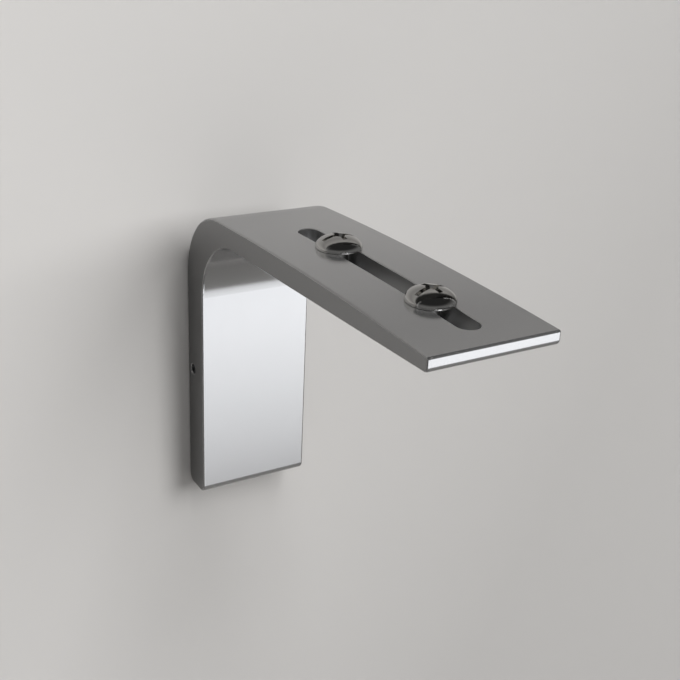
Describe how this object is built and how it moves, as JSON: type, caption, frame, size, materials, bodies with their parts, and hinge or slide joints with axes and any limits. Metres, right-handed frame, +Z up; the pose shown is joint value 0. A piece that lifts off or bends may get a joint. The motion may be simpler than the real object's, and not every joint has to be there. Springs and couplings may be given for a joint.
{
  "type": "wall bracket",
  "caption": "L-shaped metal wall bracket for curtain rails: a slotted flat arm on a hollow leg, with two round-headed rail screws that slide along the slot.",
  "frame": {"origin": "on the wall plane, midway between the two screw holes of the wall plate", "axes": "+Y into the wall, so the arm points along -Y; +Z up; +X to the right for someone who faces the wall"},
  "size_m": [0.035, 0.12, 0.0949],
  "materials": {
    "satin_metal": "satin brushed nickel look, slightly warm grey",
    "bright_metal": "bright polished nickel plating",
    "dark_screw": "black oxide steel",
    "plated_sheet": "bluish zinc-plated sheet steel",
    "plated_nut": "zinc-plated steel"
  },
  "bodies": {
    "bracket": {"bracket_body": "satin_metal", "wall_plate": "plated_sheet", "grub_screw": "dark_screw"},
    "rear_clamp": {"rear_rail_screw": "bright_metal", "rear_rail_nut": "plated_nut"},
    "front_clamp": {"front_rail_screw": "bright_metal", "front_rail_nut": "plated_nut"}
  },
  "joints": [
    {"name": "rear_clamp_slide", "type": "slide", "parent": "bracket", "child": "rear_clamp", "axis": [0, 1, -0.0035], "range_m": [-0.0127, 0.0156]},
    {"name": "front_clamp_slide", "type": "slide", "parent": "bracket", "child": "front_clamp", "axis": [0, 0.9995, 0.0309], "range_m": [-0.014, 0.0127]}
  ]
}
